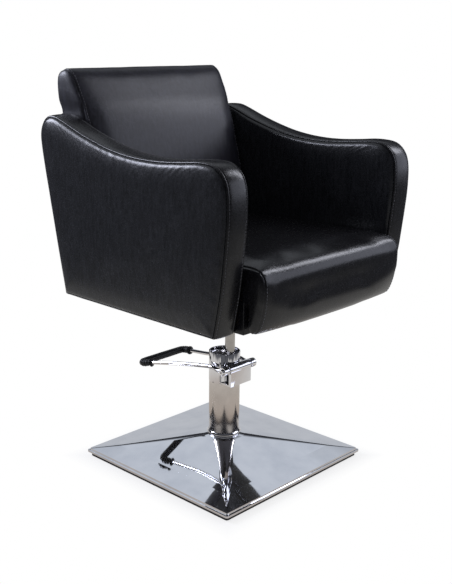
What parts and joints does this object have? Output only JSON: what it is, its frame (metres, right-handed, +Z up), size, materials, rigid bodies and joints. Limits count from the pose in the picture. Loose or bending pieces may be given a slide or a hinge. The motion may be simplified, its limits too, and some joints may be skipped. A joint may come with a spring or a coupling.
{
  "type": "hairdressing chair",
  "caption": "Padded tub chair with curved arms on a hydraulic pump: it lifts on a ram, swivels, and is pumped by a U-shaped foot pedal, on a polished square base.",
  "frame": {"origin": "on the floor, under the axis of the pump tube", "axes": "+Z up; the chair faces -Y; the sitter's right arm is on -X"},
  "size_m": [0.6524, 0.6789, 0.9741],
  "materials": {
    "mat_rubber": "matt moulded rubber",
    "plate_steel": "black satin enamel",
    "polished_stainless": "mirror polished stainless sheet",
    "zinc_steel": "bright zinc plate",
    "chrome": "bright chrome plate",
    "cylinder_steel": "ground steel",
    "ram_steel": "ground and hard chromed",
    "bronze": "turned bronze",
    "seal_rubber": "smooth nitrile rubber",
    "spring_steel": "black oxide spring steel",
    "pedal_rubber": "satin moulded rubber",
    "hub_paint": "black powder coat",
    "timber": "planed softwood",
    "plywood": "sanded plywood",
    "dust_cloth": "thin non-woven cloth",
    "seat_vinyl": "black vinyl coated fabric with a fine grain, over foam",
    "back_vinyl": "black vinyl coated fabric with a fine grain, over foam",
    "panel_vinyl": "black vinyl coated fabric with a fine grain, over foam",
    "band_vinyl": "black vinyl coated fabric, smoother and glossier"
  },
  "bodies": {
    "base": {"base_mat": "mat_rubber", "base_plate": "plate_steel", "base_cover": "polished_stainless", "tube_flange": "plate_steel", "flange_bolts": "zinc_steel", "foot_ring": "chrome", "pump_tube": "chrome", "inner_cylinder": "cylinder_steel", "pump_head": "chrome", "guide_bush": "bronze", "head_lid": "chrome", "wiper_seal": "seal_rubber", "plunger_spring": "cylinder_steel"},
    "ram": {"ram_rod": "ram_steel", "ram_piston": "cylinder_steel", "piston_seal": "seal_rubber", "thrust_washer": "bronze", "swivel_clip": "spring_steel"},
    "pedal": {"lever_shaft": "chrome", "lever_cam": "cylinder_steel", "pedal_bar": "chrome", "pedal_eyes": "chrome", "pedal_sleeve": "pedal_rubber", "eye_screws": "spring_steel"},
    "plunger": {"plunger": "cylinder_steel"},
    "chair": {"seat_hub": "hub_paint", "hub_plate": "hub_paint", "mount_bolts": "zinc_steel", "seat_frame": "timber", "side_spacers": "plywood", "seat_board": "plywood", "dust_cover": "dust_cloth", "seat_cushion": "seat_vinyl", "right_arm_frame": "timber", "right_inner_board": "plywood", "right_outer_board": "plywood", "right_arm_band": "band_vinyl", "right_inner_pad": "panel_vinyl", "right_outer_pad": "panel_vinyl", "left_arm_frame": "timber", "left_inner_board": "plywood", "left_outer_board": "plywood", "left_arm_band": "band_vinyl", "left_inner_pad": "panel_vinyl", "left_outer_pad": "panel_vinyl", "arm_bolts": "zinc_steel", "bolt_washers": "zinc_steel", "back_board": "plywood", "back_cushion": "back_vinyl", "back_panel": "panel_vinyl", "back_bolts": "zinc_steel"}
  },
  "joints": [
    {"name": "ram_lift", "type": "slide", "parent": "base", "child": "ram", "axis": [0, 0, 1], "range_m": [-0.125, 0.015]},
    {"name": "chair_swivel", "type": "hinge", "parent": "ram", "child": "chair", "pos_m": [0, -0.018, 0.418], "axis": [0, 0, 1], "continuous": true},
    {"name": "pedal_turn", "type": "hinge", "parent": "base", "child": "pedal", "pos_m": [0, -0.046, 0.254], "axis": [1, 0, 0], "range_deg": [-22, 0], "stiffness_Nm_per_rad": 2.5, "springref_deg": 34.38},
    {"name": "plunger_slide", "type": "slide", "parent": "base", "child": "plunger", "axis": [0, 0, 1], "range_m": [-0.005, 0], "deforming": ["plunger_spring"]}
  ],
  "couplings": [
    {"joint": "plunger_slide", "follows": "pedal_turn", "m_per_rad": 0.013}
  ]
}
